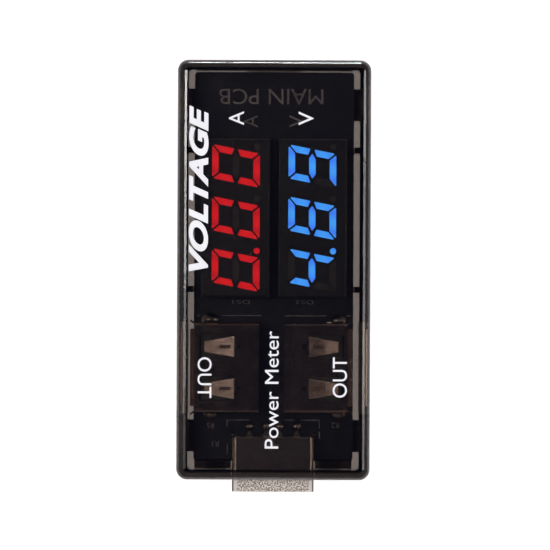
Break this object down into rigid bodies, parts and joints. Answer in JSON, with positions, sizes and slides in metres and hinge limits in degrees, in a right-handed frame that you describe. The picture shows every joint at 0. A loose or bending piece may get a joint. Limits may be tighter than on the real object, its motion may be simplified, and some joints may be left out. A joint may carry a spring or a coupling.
{
  "type": "usb power meter",
  "caption": "Pocket meter with a USB-A plug at one end, side-facing USB-A sockets and segment displays side by side under a smoked case.",
  "frame": {"origin": "under the middle of the meter, on the plane that its back cover rests on", "axes": "+Z out of the display side, +Y away from the plug along the case, +X to the reader's right"},
  "size_m": [0.0284, 0.0634, 0.013],
  "materials": {
    "smoked_plastic": "smoke-tinted see-through polycarbonate, polished",
    "circuit_board": "black solder mask on fibreglass, satin",
    "black_plastic": "matt black display face",
    "red_light": "lit epoxy light piece",
    "blue_light": "lit epoxy light piece",
    "dark_segment": "unlit epoxy light piece",
    "tinned_metal": "tin-plated copper alloy",
    "socket_steel": "nickel-plated sheet steel",
    "socket_insulator": "black moulded insulator",
    "gold_contact": "gold-flashed phosphor bronze",
    "plug_nickel": "grainy nickel plate over steel",
    "plug_insulator": "white moulded insulator",
    "chip_plastic": "black epoxy package",
    "shunt_body": "sense resistor with tinned ends",
    "resistor_body": "thick-film resistor with tinned ends",
    "capacitor_body": "ceramic capacitor with tinned ends",
    "solder": "bright solder",
    "white_ink": "white pad-printed ink",
    "board_ink": "white legend ink on the board",
    "copper": "copper under solder mask, and tinned pads"
  },
  "bodies": {
    "meter": {"front_cover": "smoked_plastic", "back_cover": "smoked_plastic", "main_board": "circuit_board", "left_display_case": "black_plastic", "left_display_lit_segments": "red_light", "left_display_dark_segments": "dark_segment", "left_display_pins": "tinned_metal", "right_display_case": "black_plastic", "right_display_lit_segments": "blue_light", "right_display_dark_segments": "dark_segment", "right_display_pins": "tinned_metal", "left_socket_shell": "socket_steel", "left_socket_tongue": "socket_insulator", "left_socket_tails": "tinned_metal", "right_socket_shell": "socket_steel", "right_socket_tongue": "socket_insulator", "right_socket_tails": "tinned_metal", "plug_shell": "plug_nickel", "plug_tongue": "plug_insulator", "plug_contacts": "gold_contact", "microcontroller": "chip_plastic", "microcontroller_leads": "tinned_metal", "voltage_regulator": "chip_plastic", "current_shunts": "shunt_body", "chip_resistors": "resistor_body", "chip_capacitors": "capacitor_body", "pin_solder": "solder"},
    "left_socket_front_springs": {"left_socket_front_springs": "socket_steel"},
    "left_socket_back_springs": {"left_socket_back_springs": "socket_steel"},
    "left_socket_contacts": {"left_socket_contacts": "gold_contact"},
    "right_socket_front_springs": {"right_socket_front_springs": "socket_steel"},
    "right_socket_back_springs": {"right_socket_back_springs": "socket_steel"},
    "right_socket_contacts": {"right_socket_contacts": "gold_contact"}
  },
  "joints": [
    {"name": "left_front_springs_flex", "type": "hinge", "parent": "meter", "child": "left_socket_front_springs", "pos_m": [-0.0057, -0.01345, 0.01081], "axis": [0, 1, 0], "range_deg": [0, 5], "stiffness_Nm_per_rad": 0.1},
    {"name": "left_back_springs_flex", "type": "hinge", "parent": "meter", "child": "left_socket_back_springs", "pos_m": [-0.0057, -0.01345, 0.00539], "axis": [0, -1, 0], "range_deg": [0, 5], "stiffness_Nm_per_rad": 0.1},
    {"name": "left_contacts_flex", "type": "hinge", "parent": "meter", "child": "left_socket_contacts", "pos_m": [-0.0043, -0.01345, 0.00828], "axis": [0, 1, 0], "range_deg": [0, 3.3], "stiffness_Nm_per_rad": 0.1},
    {"name": "right_front_springs_flex", "type": "hinge", "parent": "meter", "child": "right_socket_front_springs", "pos_m": [0.00515, -0.01345, 0.01081], "axis": [0, -1, 0], "range_deg": [0, 5], "stiffness_Nm_per_rad": 0.1},
    {"name": "right_back_springs_flex", "type": "hinge", "parent": "meter", "child": "right_socket_back_springs", "pos_m": [0.00515, -0.01345, 0.00539], "axis": [0, 1, 0], "range_deg": [0, 5], "stiffness_Nm_per_rad": 0.1},
    {"name": "right_contacts_flex", "type": "hinge", "parent": "meter", "child": "right_socket_contacts", "pos_m": [0.00375, -0.01345, 0.00828], "axis": [0, -1, 0], "range_deg": [0, 3.3], "stiffness_Nm_per_rad": 0.1}
  ]
}
